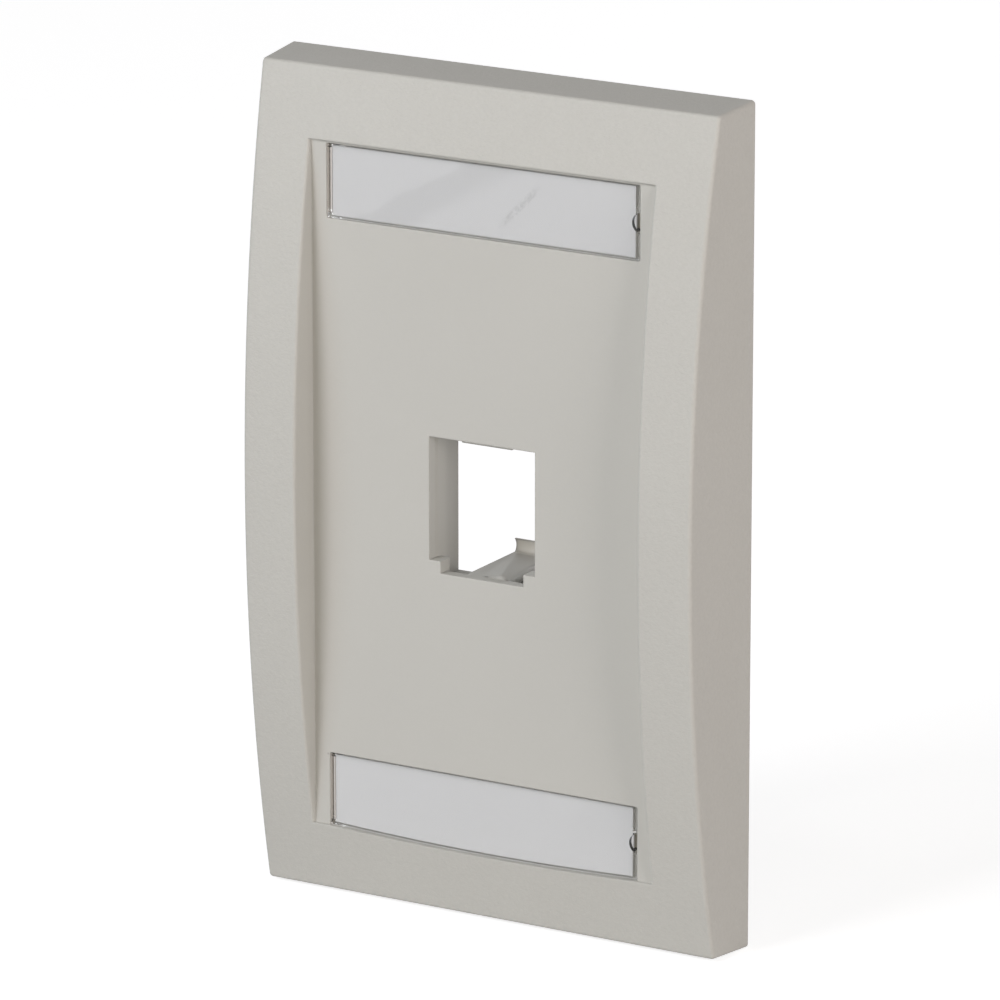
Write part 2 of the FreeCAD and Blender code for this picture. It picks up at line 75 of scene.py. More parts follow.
COVER_MIDDLE = 41.77 * MM
PANEL_HALF_WIDTH = 25.9 * MM
PANEL_HALF_HEIGHT = 47.0 * MM
LAMP_SIZE = 0.5
LAMP_DISTANCE = 1.3
CROWN_RINGS = 8
THREAD_STEPS = 48


# ------------------------------------------------------------------ node helpers


def add_node(tree, kind, inputs=None, **settings):
    """Adds one shader node, sets its properties, and fills or links its inputs."""
    node = tree.nodes.new("ShaderNode" + kind)
    for name, value in settings.items():
        setattr(node, name, value)
    for name, value in (inputs or {}).items():
        socket = node.inputs[name]
        if isinstance(value, bpy.types.NodeSocket):
            tree.links.new(value, socket)
        else:
            socket.default_value = value
    return node


def calculate(tree, operation, first, second=0.0, clamp=False):
    """One Math node; gives its output socket."""
    inputs = {0: first, 1: second}
    return add_node(tree, "Math", inputs, operation=operation, use_clamp=clamp).outputs[0]


def remap(tree, value, low, high, to_low=0.0, to_high=1.0):
    """A smooth step of value between low and high; gives its output socket."""
    inputs = {
        "Value": value,
        "From Min": low,
        "From Max": high,
        "To Min": to_low,
        "To Max": to_high,
    }
    return add_node(tree, "MapRange", inputs, interpolation_type="SMOOTHSTEP").outputs[0]


def noise(tree, vector, scale, detail=2.0, roughness=0.5, distortion=0.0):
    """A noise texture; gives its factor socket."""
    inputs = {
        "Vector": vector,
        "Scale": scale,
        "Detail": detail,
        "Roughness": roughness,
        "Distortion": distortion,
    }
    return add_node(tree, "TexNoise", inputs).outputs["Fac"]


def blend_colour(tree, factor, first, second, mode="MIX"):
    """A colour Mix node; gives its output socket."""
    node = add_node(tree, "Mix", data_type="RGBA", blend_type=mode)
    for index, value in ((0, factor), (6, first), (7, second)):
        if isinstance(value, bpy.types.NodeSocket):
            tree.links.new(value, node.inputs[index])
        else:
            node.inputs[index].default_value = value
    return node.outputs[2]


def new_material(name):
    """An empty node material; gives it with its tree, its output node and its object coordinates."""
    material = bpy.data.materials.new(name)
    material.use_nodes = True
    tree = material.node_tree
    tree.nodes.clear()
    output = add_node(tree, "OutputMaterial")
    place = add_node(tree, "TexCoord").outputs["Object"]
    return material, tree, output, place


def new_group(name, inputs, outputs):
    """A shader node group with float or vector sockets; gives it with its input and output nodes."""
    group = bpy.data.node_groups.new(name, "ShaderNodeTree")
    for socket, kind, default in inputs:
        made = group.interface.new_socket(socket, in_out="INPUT", socket_type="NodeSocket" + kind)
        if default is not None:
            made.default_value = default
    for socket, kind in outputs:
        group.interface.new_socket(socket, in_out="OUTPUT", socket_type="NodeSocket" + kind)
    return group, group.nodes.new("NodeGroupInput"), group.nodes.new("NodeGroupOutput")


def use_group(tree, group, **inputs):
    """Places a node group and fills or links its inputs, named with spaces as underscores."""
    node = add_node(tree, "Group", node_tree=group)
    for name, value in inputs.items():
        socket = node.inputs[name.replace("_", " ")]
        if isinstance(value, bpy.types.NodeSocket):
            tree.links.new(value, socket)
        else:
            socket.default_value = value
    return node.outputs


def rgba(colour, strength=1.0):
    """A colour property as four numbers, scaled by strength."""
    return tuple(channel * strength for channel in colour[:3]) + (1.0,)


# ------------------------------------------------------------------ modelling helpers


def select_alone(context, piece):
    """Selects one piece alone and makes it the active one."""
    bpy.ops.object.select_all(action="DESELECT")
    piece.select_set(True)
    context.view_layer.objects.active = piece


def start_edit(context, piece):
    """Opens one piece in edit mode with all of it selected."""
    select_alone(context, piece)
    bpy.ops.object.mode_set(mode="EDIT")
    bpy.ops.mesh.select_mode(type="VERT")
    bpy.ops.mesh.select_all(action="SELECT")


def end_edit():
    """Sets all faces outwards and goes back to object mode."""
    bpy.ops.mesh.select_all(action="SELECT")
    bpy.ops.mesh.remove_doubles(threshold=0.0005 * MM)
    bpy.ops.mesh.normals_make_consistent(inside=False)
    bpy.ops.object.mode_set(mode="OBJECT")


def apply_change(context, piece, kind, **settings):
    """Adds one modifier to a piece and applies it."""
    select_alone(context, piece)
    change = piece.modifiers.new(kind.lower(), kind)
    for name, value in settings.items():
        setattr(change, name, value)
    bpy.ops.object.modifier_apply(modifier=change.name)


def carve(context, piece, tool, operation):
    """Combines a piece with a tool solid, which is used up."""
    apply_change(context, piece, "BOOLEAN", operation=operation, solver="EXACT", object=tool)
    bpy.data.objects.remove(tool)


def turned_solid(context, name, rings, axis):
    """A solid turned about a line along Y at height axis, from rings of (y, radius) in order."""
    place, reach = rings[0]
    bpy.ops.object.select_all(action="DESELECT")
    bpy.ops.mesh.primitive_circle_add(
        vertices=64,
        radius=reach,
        fill_type="NGON",
        location=(0.0, place, axis),
        rotation=(math.pi / 2, 0.0, 0.0),
    )
    solid = context.object
    solid.name = name
    bpy.ops.object.transform_apply(location=True, rotation=True)
    start_edit(context, solid)
    for y, radius in rings[1:]:
        bpy.ops.mesh.extrude_region_move(TRANSFORM_OT_translate={"value": (0.0, y - place, 0.0)})
        factor = radius / reach
        bpy.ops.transform.resize(value=(factor, 1.0, factor), center_override=(0.0, y, axis))
        place, reach = y, radius
    end_edit()
    return solid


def thread_rod(context, settings, start, end, axis):
    """A rod along Y with a right-handed thread, cut flat at both ends."""
    pitch, depth = settings.thread_pitch, settings.thread_depth
    flank, flat = pitch * 0.36, pitch * 0.14
    turns = math.ceil((end - start) / pitch) + 3
    bpy.ops.object.select_all(action="DESELECT")
    bpy.ops.mesh.primitive_plane_add(size=pitch, location=(0.0, 0.0, axis))
    rod = context.object
    rod.name = "thread_rod"
    start_edit(context, rod)
    bpy.ops.mesh.merge(type="CENTER")
    root = settings.thread_width / 2 - depth
    bpy.ops.transform.translate(value=(root, start - 1.5 * pitch, 0.0))
    for out, along in ((depth, flank), (0.0, flat), (-depth, flank), (0.0, flat)):
        bpy.ops.mesh.extrude_region_move(TRANSFORM_OT_translate={"value": (out, along, 0.0)})
    bpy.ops.object.mode_set(mode="OBJECT")
    apply_change(
        context,
        rod,
        "SCREW",
        axis="Y",
        angle=2 * math.pi,
        screw_offset=pitch,
        iterations=turns,
        steps=THREAD_STEPS,
        render_steps=THREAD_STEPS,
    )
    bpy.ops.object.transform_apply(location=True)
    start_edit(context, rod)
    bpy.ops.mesh.remove_doubles(threshold=0.001 * MM)
    for y, sides in ((start, {"clear_inner": True}), (end, {"clear_outer": True})):
        bpy.ops.mesh.select_all(action="SELECT")
        bpy.ops.mesh.bisect(
            plane_co=(0.0, y, 0.0), plane_no=(0.0, 1.0, 0.0), use_fill=True, threshold=0.0001 * MM, **sides
        )
    end_edit()
    return rod


def machine_screw(context, settings, name, low, high):
    """Crowned slotted head and plain neck, then a rolled thread to the chamfered tip."""
    axis = (low.z + high.z) / 2
    front, tip = low.y, high.y
    half_head = settings.head_width / 2
    half_neck = settings.neck_width / 2
    half_thread = settings.thread_width / 2
    seat = front + settings.head_height
    neck_end = seat + settings.neck_length
    sphere = (half_head**2 + settings.head_crown**2) / (2 * settings.head_crown)
    rings = [(neck_end + settings.tip_chamfer, half_neck), (seat, half_neck), (seat, half_head)]
    for ring in range(CROWN_RINGS, 0, -1):
        radius = half_head * ring / CROWN_RINGS
        rings.append((front + sphere - math.sqrt(sphere**2 - radius**2), radius))
    screw = turned_solid(context, name, rings, axis)

    bpy.ops.object.select_all(action="DESELECT")
    bpy.ops.mesh.primitive_cube_add(size=1.0, location=(0.0, front, axis))
    blade = context.object
    blade.scale = (settings.head_width * 1.2, settings.slot_depth * 2, settings.slot_width)
    bpy.ops.object.transform_apply(location=True, scale=True)
    carve(context, screw, blade, "DIFFERENCE")
    apply_change(
        context, screw, "BEVEL", width=settings.edge_break, segments=2, limit_method="ANGLE", angle_limit=math.radians(40)
    )

    rod = thread_rod(context, settings, neck_end, tip, axis)
    slack = 0.1 * MM
    trim = turned_solid(
        context,
        "tip_trim",
        [
            (tip + slack, half_thread - settings.tip_chamfer - slack),
            (tip - settings.tip_chamfer - slack, half_thread + slack),
            (neck_end - slack, half_thread + slack),
        ],
        axis,
    )
    carve(context, rod, trim, "INTERSECT")
    carve(context, screw, rod, "UNION")
    start_edit(context, screw)
    end_edit()
    select_alone(context, screw)
    bpy.ops.object.shade_smooth_by_angle(angle=math.radians(32))
    return screw


# ------------------------------------------------------------------ shared effects


def mould_texture_group():
    """Spark-eroded mould texture: fine rounded grain over soft uneven clouds."""
    found = bpy.data.node_groups.get("mould_texture")
    if found:
        return found
    group, given, result = new_group(
        "mould_texture",
        [("Place", "Vector", None), ("Grain Scale", "Float", 2600.0), ("Cloud Scale", "Float", 40.0)],
        [("Grain", "Float"), ("Cloud", "Float"), ("Speck", "Float")],
    )
    place = given.outputs["Place"]
    coarse = noise(group, place, given.outputs["Grain Scale"], 2.0, 0.55, 0.2)
    finer_scale = calculate(group, "MULTIPLY", given.outputs["Grain Scale"], 2.7)
    fine = noise(group, place, finer_scale, 1.0, 0.5)
    grain = calculate(group, "ADD", calculate(group, "MULTIPLY", coarse, 0.68), calculate(group, "MULTIPLY", fine, 0.32))
    group.links.new(grain, result.inputs["Grain"])
    cloud = noise(group, place, given.outputs["Cloud Scale"], 3.0, 0.5, 0.6)
    group.links.new(cloud, result.inputs["Cloud"])
    cells = add_node(group, "TexVoronoi", {"Vector": place, "Scale": 210.0}, feature="F1")
    rare = calculate(group, "GREATER_THAN", add_node(group, "SeparateColor", {"Color": cells.outputs["Color"]}).outputs[0], 0.972)
    dot = remap(group, cells.outputs["Distance"], 0.045, 0.02)
    group.links.new(calculate(group, "MULTIPLY", rare, dot), result.inputs["Speck"])
    return group


def handling_group():
    """Light rub marks and hairline scratches left by handling."""
    found = bpy.data.node_groups.get("handling_marks")
    if found:
        return found
    group, given, result = new_group(
        "handling_marks",
        [("Place", "Vector", None), ("Amount", "Float", 0.5)],
        [("Rub", "Float"), ("Scratch", "Float")],
    )
    place = given.outputs["Place"]
    broad = noise(group, place, 55.0, 4.0, 0.6, 0.4)
    rub = calculate(group, "MULTIPLY", remap(group, broad, 0.52, 0.72), given.outputs["Amount"])
    group.links.new(rub, result.inputs["Rub"])
    turned = add_node(group, "Mapping", {"Vector": place, "Rotation": (0.3, 0.7, 0.25), "Scale": (22.0, 22.0, 900.0)})
    lines = noise(group, turned.outputs[0], 1.0, 2.0, 0.4)
    scratch = calculate(group, "MULTIPLY", remap(group, lines, 0.70, 0.76), given.outputs["Amount"])
    group.links.new(scratch, result.inputs["Scratch"])
    return group


# ------------------------------------------------------------------ finishes


def shell_plastic(settings):
    """Off-white moulded plastic, grained on the frame and its sides and satin smooth on the panel and behind."""
    material, tree, output, place = new_material("shell_plastic")
    axes = add_node(tree, "SeparateXYZ", {"Vector": place}).outputs
    across = calculate(tree, "ABSOLUTE", axes[0])
    along = calculate(tree, "ABSOLUTE", axes[2])
    beside = remap(tree, across, PANEL_HALF_WIDTH - 0.1 * MM, PANEL_HALF_WIDTH + 0.4 * MM)
    beyond = remap(tree, along, PANEL_HALF_HEIGHT - 0.1 * MM, PANEL_HALF_HEIGHT + 0.4 * MM)
    frame_front = calculate(tree, "MAXIMUM", beside, beyond)
    outer_side = calculate(
        tree,
        "MAXIMUM",
        remap(tree, across, PLATE_HIGH.x - 1.6 * MM, PLATE_HIGH.x - 1.2 * MM),
        remap(tree, along, PLATE_HIGH.z - 1.6 * MM, PLATE_HIGH.z - 1.2 * MM),
    )
    forward = remap(tree, axes[1], -6.6 * MM, -7.2 * MM)
    grained = calculate(
        tree, "MAXIMUM", calculate(tree, "MULTIPLY", frame_front, forward), outer_side, clamp=True
    )
    beside_arm = remap(tree, across, 3.6 * MM, 4.2 * MM)
    above_arm = remap(tree, axes[2], -6.8 * MM, -6.4 * MM)
    in_front = remap(tree, axes[1], -9.0 * MM, -9.4 * MM)
    below_arm = remap(tree, axes[2], -12.2 * MM, -12.8 * MM)
    off_arm = calculate(tree, "MAXIMUM", calculate(tree, "MAXIMUM", beside_arm, above_arm), in_front)
    off_arm = calculate(tree, "MAXIMUM", off_arm, below_arm)
    texture = use_group(
        tree, mould_texture_group(), Place=place, Grain_Scale=settings.grain_scale, Cloud_Scale=38.0
    )
    marks = use_group(tree, handling_group(), Place=place, Amount=0.6)
    depth = remap(tree, grained, 0.0, 1.0, 0.22, 1.0)
    tone = calculate(tree, "MULTIPLY", calculate(tree, "SUBTRACT", texture["Grain"], 0.5), settings.grain_tone)
    tone = calculate(tree, "MULTIPLY", tone, depth)
    cloud = calculate(tree, "MULTIPLY", calculate(tree, "SUBTRACT", texture["Cloud"], 0.5), 0.05)
    factor = calculate(tree, "ADD", calculate(tree, "ADD", tone, cloud), 1.0)
    # Painted light: the thin lip of the latch arm is made lighter in the colour, standing in for light shining through
    # it from behind.
    on_lip = calculate(
        tree,
        "MULTIPLY",
        calculate(tree, "SUBTRACT", 1.0, beside_arm),
        calculate(tree, "MULTIPLY", remap(tree, axes[1], 3.2 * MM, 3.8 * MM), remap(tree, axes[2], -9.9 * MM, -9.2 * MM)),
    )
    on_lip = calculate(tree, "MULTIPLY", on_lip, calculate(tree, "SUBTRACT", 1.0, above_arm))
    factor = calculate(tree, "ADD", factor, calculate(tree, "MULTIPLY", on_lip, settings.painted_lip_light))
    # Painted shade: the latch arm (its lip excepted) and the deep side walls of the housing are darkened in the colour,
    # standing in for the shade that falls inside the port.
    on_arm = calculate(tree, "SUBTRACT", calculate(tree, "SUBTRACT", 1.0, off_arm), on_lip, clamp=True)
    beside_port = calculate(
        tree, "MULTIPLY", remap(tree, across, 7.5 * MM, 7.8 * MM), remap(tree, across, 8.8 * MM, 8.4 * MM)
    )
    in_housing = calculate(tree, "MULTIPLY", beside_port, remap(tree, axes[1], -6.2 * MM, -4.6 * MM))
    in_housing = calculate(tree, "MULTIPLY", in_housing, remap(tree, along, 12.8 * MM, 12.2 * MM))
    shaded = calculate(tree, "MAXIMUM", on_arm, in_housing)
    factor = calculate(tree, "SUBTRACT", factor, calculate(tree, "MULTIPLY", shaded, settings.painted_housing_shade))
    colour = add_node(tree, "VectorMath", {0: rgba(settings.shell_colour)[:3], 3: factor}, operation="SCALE").outputs[0]
    speck = calculate(tree, "MULTIPLY", texture["Speck"], 0.35)
    colour = blend_colour(tree, speck, colour, (0.16, 0.15, 0.13, 1.0))
    height = calculate(tree, "MULTIPLY", texture["Grain"], depth)
    edge_radius = remap(tree, off_arm, 0.0, 1.0, settings.arm_softness, settings.edge_softness)
    soft_edges = add_node(tree, "Bevel", {"Radius": edge_radius}, samples=6)
    bump = add_node(
        tree,
        "Bump",
        {"Strength": 1.0, "Distance": settings.grain_depth, "Height": height, "Normal": soft_edges.outputs[0]},
    )
    rough = calculate(tree, "ADD", settings.shell_roughness, calculate(tree, "MULTIPLY", depth, 0.10))
    rough = calculate(tree, "SUBTRACT", rough, calculate(tree, "MULTIPLY", marks["Rub"], 0.06))
    shader = add_node(
        tree,
        "BsdfPrincipled",
        {"Base Color": colour, "Roughness": rough, "IOR": 1.49, "Normal": bump.outputs[0]},
    )
    tree.links.new(shader.outputs[0], output.inputs["Surface"])
    return material


def label_card(settings):
    """White label card with fibre mottle, one faint darker diagonal band and a rubbed smear."""
    material, tree, output, place = new_material("label_card")
    fibres = noise(tree, add_node(tree, "Mapping", {"Vector": place, "Scale": (1.0, 1.0, 1.8)}).outputs[0], 1900.0, 3.0, 0.6)
    cloud = noise(tree, place, 90.0, 3.0, 0.5)
    axes = add_node(tree, "SeparateXYZ", {"Vector": place}).outputs
    slanted = calculate(tree, "SUBTRACT", axes[2], calculate(tree, "MULTIPLY", axes[0], 0.585))
    wander = calculate(tree, "MULTIPLY", calculate(tree, "SUBTRACT", noise(tree, place, 160.0, 2.0), 0.5), 3.0 * MM)
    slanted = calculate(tree, "ADD", slanted, wander)
    band = calculate(
        tree,
        "MULTIPLY",
        remap(tree, slanted, 48.6 * MM, 47.4 * MM),
        remap(tree, slanted, 42.2 * MM, 45.0 * MM),
    )
    diagonal = calculate(tree, "SUBTRACT", axes[2], calculate(tree, "MULTIPLY", axes[0], 0.98))
    off_line = calculate(tree, "ABSOLUTE", calculate(tree, "SUBTRACT", diagonal, 36.1 * MM))
    smear = calculate(
        tree,
        "MULTIPLY",
        remap(tree, off_line, 1.0 * MM, 0.2 * MM),
        remap(tree, noise(tree, place, 1800.0, 4.0, 0.7), 0.40, 0.54),
    )
    smear = calculate(tree, "MULTIPLY", smear, remap(tree, axes[0], 2.0 * MM, 3.6 * MM))
    smear = calculate(tree, "MULTIPLY", smear, remap(tree, axes[0], 9.0 * MM, 7.4 * MM))
    shade = calculate(tree, "ADD", calculate(tree, "MULTIPLY", band, 0.085), calculate(tree, "MULTIPLY", smear, 0.16))
    upper = remap(tree, axes[2], -1.0 * MM, 1.0 * MM)
    shade = calculate(tree, "ADD", shade, calculate(tree, "MULTIPLY", upper, 0.045))
    tone = calculate(tree, "MULTIPLY", calculate(tree, "SUBTRACT", fibres, 0.5), 0.012)
    tone = calculate(tree, "ADD", tone, calculate(tree, "MULTIPLY", calculate(tree, "SUBTRACT", cloud, 0.5), 0.03))
    factor = calculate(tree, "SUBTRACT", calculate(tree, "ADD", tone, 1.0), shade)
    colour = add_node(tree, "VectorMath", {0: rgba(settings.card_colour)[:3], 3: factor}, operation="SCALE").outputs[0]
    bump = add_node(tree, "Bump", {"Strength": 0.2, "Distance": 0.01 * MM, "Height": fibres})
    shader = add_node(
        tree,
        "BsdfPrincipled",
        {"Base Color": colour, "Roughness": calculate(tree, "ADD", 0.72, tone), "IOR": 1.45, "Normal": bump.outputs[0]},
    )
    tree.links.new(shader.outputs[0], output.inputs["Surface"])
    return material


def clear_plastic(settings):
    """Clear moulded plastic with slight haze where it has been handled; lamps pass straight through it."""
    material, tree, output, place = new_material("cover_clear")
    marks = use_group(tree, handling_group(), Place=place, Amount=1.0)
    texture = use_group(tree, mould_texture_group(), Place=place, Grain_Scale=260.0, Cloud_Scale=120.0)
    rough = calculate(tree, "ADD", settings.cover_roughness, calculate(tree, "MULTIPLY", marks["Rub"], 0.05))
    rough = calculate(tree, "ADD", rough, calculate(tree, "MULTIPLY", marks["Scratch"], 0.12))
    axes = add_node(tree, "SeparateXYZ", {"Vector": place}).outputs
    facing = add_node(tree, "SeparateXYZ", {"Vector": add_node(tree, "TexCoord").outputs["Normal"]}).outputs
    long_side = remap(tree, calculate(tree, "ABSOLUTE", facing[2]), 0.96, 0.98)
    end_side = remap(tree, facing[0], 0.96, 0.98)
    from_middle = calculate(tree, "SUBTRACT", calculate(tree, "ABSOLUTE", axes[2]), COVER_MIDDLE)
    off_notch = remap(tree, calculate(tree, "ABSOLUTE", from_middle), 1.7 * MM, 1.8 * MM)
    cut_side = calculate(tree, "MAXIMUM", long_side, calculate(tree, "MULTIPLY", end_side, off_notch))
    beside_hook = remap(tree, axes[0], LABEL_LOW.x + 1.2 * MM, LABEL_LOW.x + 1.8 * MM)
    cut_edge = calculate(tree, "MULTIPLY", cut_side, beside_hook)
    bump = add_node(tree, "Bump", {"Strength": 0.2, "Distance": 0.002 * MM, "Height": texture["Grain"]})
    # Painted shade: over the hooks at the covers' left ends, except at each card's lower corner, the cover is darkened
    # to stand for the shade of the window's left wall seen through it.
    hook_shade_mask = remap(tree, axes[0], LABEL_LOW.x + 0.05 * MM, LABEL_LOW.x - 0.1 * MM)
    over_upper = remap(tree, axes[2], LABEL_LOW.z + 0.35 * MM, LABEL_LOW.z + 0.55 * MM)
    over_lower = remap(tree, axes[2], LOWER_LABEL_LOW.z + 0.35 * MM, LOWER_LABEL_LOW.z + 0.55 * MM)
    below_upper = remap(tree, axes[2], 1.0 * MM, -1.0 * MM)
    above_corner = calculate(tree, "MAXIMUM", over_upper, calculate(tree, "MULTIPLY", over_lower, below_upper))
    colour = blend_colour(
        tree,
        calculate(tree, "MULTIPLY", hook_shade_mask, above_corner),
        rgba(settings.cover_colour),
        rgba(settings.painted_hook_shade),
    )
    shader = add_node(
        tree,
        "BsdfPrincipled",
        {
            "Base Color": colour,
            "Roughness": rough,
            "IOR": 1.49,
            "Transmission Weight": 1.0,
            "Normal": bump.outputs[0],
        },
    )
    sawn = add_node(tree, "BsdfPrincipled", {"Base Color": rgba(settings.cut_edge_colour), "Roughness": 0.5, "IOR": 1.49})
    edged = add_node(tree, "MixShader", {0: cut_edge, 1: shader.outputs[0], 2: sawn.outputs[0]})
    through = add_node(tree, "BsdfTransparent", {"Color": rgba(settings.cover_colour, 0.95)})
    path = add_node(tree, "LightPath").outputs
    passing = calculate(tree, "MAXIMUM", path["Is Shadow Ray"], path["Is Diffuse Ray"])
    mixed = add_node(tree, "MixShader", {0: passing, 1: edged.outputs[0], 2: through.outputs[0]})
    tree.links.new(mixed.outputs[0], output.inputs["Surface"])
    return material


def plated_steel(settings):
    """Bright zinc-plated steel with turning lines and a light dulling of handling."""
    material, tree, output, place = new_material("screw_steel")
    marks = use_group(tree, handling_group(), Place=place, Amount=0.8)
    texture = use_group(tree, mould_texture_group(), Place=place, Grain_Scale=1800.0, Cloud_Scale=260.0)
    cloud = calculate(tree, "SUBTRACT", texture["Cloud"], 0.5)
    factor = calculate(tree, "ADD", 1.0, calculate(tree, "MULTIPLY", cloud, 0.16))
    colour = add_node(tree, "VectorMath", {0: rgba(settings.steel_colour)[:3], 3: factor}, operation="SCALE").outputs[0]
    rough = calculate(tree, "ADD", settings.steel_roughness, calculate(tree, "MULTIPLY", marks["Rub"], 0.12))
    rough = calculate(tree, "ADD", rough, calculate(tree, "MULTIPLY", cloud, 0.12))
    bump = add_node(tree, "Bump", {"Strength": 0.4, "Distance": 0.008 * MM, "Height": texture["Grain"]})
    shader = add_node(
        tree,
        "BsdfPrincipled",
        {"Base Color": colour, "Metallic": 1.0, "Roughness": rough, "Normal": bump.outputs[0]},
    )
    tree.links.new(shader.outputs[0], output.inputs["Surface"])
    return material


def finish_node(name, material):
    """Gives a carried-over solid its finished material."""
    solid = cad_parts[name]
    for place in solid.material_slots:
        place.material = material


# ------------------------------------------------------------------ settings


class FaceplateFinish(bpy.types.PropertyGroup):
    """Colours and textures of the moulded, printed and plated parts."""

    shell_colour: bpy.props.FloatVectorProperty(
        name="Shell colour",
        description="Colour of the moulded shell",
        subtype="COLOR",
        size=3,
        min=0.0,
        max=1.0,
        default=(0.512, 0.501, 0.463),
    )
    shell_roughness: bpy.props.FloatProperty(
        name="Shell roughness",
        description="Roughness of the satin-smooth surfaces of the shell",
        subtype="FACTOR",
        min=0.0,
        max=1.0,
        default=0.48,
    )
    grain_scale: bpy.props.FloatProperty(
        name="Grain scale",
        description="Grains of the mould texture in one metre",
        min=100.0,
        default=2000.0,
    )
    grain_depth: bpy.props.FloatProperty(
        name="Grain depth",
        description="Depth of the mould texture on the frame",
        unit="LENGTH",
        precision=6,
        min=0.0,
        default=0.09 * MM,
    )
    grain_tone: bpy.props.FloatProperty(
        name="Grain tone",
        description="Share of the colour by which the grain varies",
        subtype="FACTOR",
        min=0.0,
        max=1.0,
        default=0.14,
    )
    # Painted light on the latch arm's lip, standing in for light shining through it.
    painted_lip_light: bpy.props.FloatProperty(
        name="Lip lightness",
        description="How much lighter the thin lip of the latch arm looks",
        subtype="FACTOR",
        min=0.0,
        max=1.0,
        default=0.22,
    )
    # Painted shade inside the port, darkening the housing walls and latch arm in the colour.
    painted_housing_shade: bpy.props.FloatProperty(
        name="Housing shade",
        description="How much darker the polished housing and latch arm look",
        subtype="FACTOR",
        min=0.0,
        max=1.0,
        default=0.08,
    )
    edge_softness: bpy.props.FloatProperty(
        name="Edge softness",
        description="Radius to which the moulded edges are softened",
        unit="LENGTH",
        precision=6,
        min=0.0,
        default=0.25 * MM,
    )
    arm_softness: bpy.props.FloatProperty(
        name="Arm softness",
        description="Radius to which the ridges of the latch arm are softened",
        unit="LENGTH",
        precision=6,
        min=0.0,
        default=0.9 * MM,
    )
    card_colour: bpy.props.FloatVectorProperty(
        name="Card colour",
        description="Colour of the label cards",
        subtype="COLOR",
        size=3,
        min=0.0,
        max=1.0,
        default=(0.662, 0.655, 0.656),
    )
    cover_colour: bpy.props.FloatVectorProperty(
        name="Cover tint",
        description="Tint of the clear covers",
        subtype="COLOR",
        size=3,
        min=0.0,
        max=1.0,
        default=(0.97, 0.975, 0.975),
    )
    cut_edge_colour: bpy.props.FloatVectorProperty(
        name="Cut edge colour",
        description="Colour of the ground narrow faces of the covers",
        subtype="COLOR",
        size=3,
        min=0.0,
        max=1.0,
        default=(0.66, 0.655, 0.63),
    )
    # Painted shade at the covers' left ends, standing in for the shaded window wall behind them.
    painted_hook_shade: bpy.props.FloatVectorProperty(
        name="Hook tint",
        description="Tint of the thick hooks at the covers' left ends",
        subtype="COLOR",
        size=3,
        min=0.0,
        max=1.0,
        default=(0.34, 0.30, 0.26),
    )
    cover_roughness: bpy.props.FloatProperty(
        name="Cover roughness",
        description="Haze of the clear covers",
        subtype="FACTOR",
        min=0.0,
        max=1.0,
        default=0.08,
    )
    steel_colour: bpy.props.FloatVectorProperty(
        name="Steel colour",
        description="Colour of the plated screws",
        subtype="COLOR",
        size=3,
        min=0.0,
        max=1.0,
        default=(0.50, 0.50, 0.49),
    )
    steel_roughness: bpy.props.FloatProperty(
        name="Steel roughness",
        description="Roughness of the plated screws",
        subtype="FACTOR",
        min=0.0,
        max=1.0,
        default=0.28,
    )


class FaceplateScrew(bpy.types.PropertyGroup):
    """Sizes of the mounting screws."""

    head_width: bpy.props.FloatProperty(
        name="Head width", description="Across the screw's head", unit="LENGTH", precision=5, default=6.78 * MM
    )
    head_height: bpy.props.FloatProperty(
        name="Head height", description="From the seat to the top of the crown", unit="LENGTH", precision=5, default=1.9 * MM
    )
    head_crown: bpy.props.FloatProperty(
        name="Head crown", description="Rise of the crown in the head's middle", unit="LENGTH", precision=5, default=0.6 * MM
    )
    slot_width: bpy.props.FloatProperty(
        name="Slot width", description="Width of the driver slot", unit="LENGTH", precision=5, default=1.0 * MM
    )
    slot_depth: bpy.props.FloatProperty(
        name="Slot depth", description="Depth of the driver slot", unit="LENGTH", precision=5, default=0.9 * MM
    )
    neck_width: bpy.props.FloatProperty(
        name="Neck width", description="Across the plain neck", unit="LENGTH", precision=5, default=2.9 * MM
    )
    neck_length: bpy.props.FloatProperty(
        name="Neck length", description="From the seat to the thread", unit="LENGTH", precision=5, default=3.2 * MM
    )
    thread_width: bpy.props.FloatProperty(
        name="Thread width", description="Across the thread's crests", unit="LENGTH", precision=5, default=3.5 * MM
    )
    thread_pitch: bpy.props.FloatProperty(
        name="Thread pitch", description="From one crest to the next", unit="LENGTH", precision=5, default=0.794 * MM
    )
    thread_depth: bpy.props.FloatProperty(
        name="Thread depth", description="From crest to root", unit="LENGTH", precision=5, default=0.42 * MM
    )
    tip_chamfer: bpy.props.FloatProperty(
        name="Tip chamfer", description="Chamfer on the screw's end", unit="LENGTH", precision=5, default=0.5 * MM
    )
    edge_break: bpy.props.FloatProperty(
        name="Edge break", description="Width of the broken edges of the head", unit="LENGTH", precision=5, default=0.08 * MM
    )


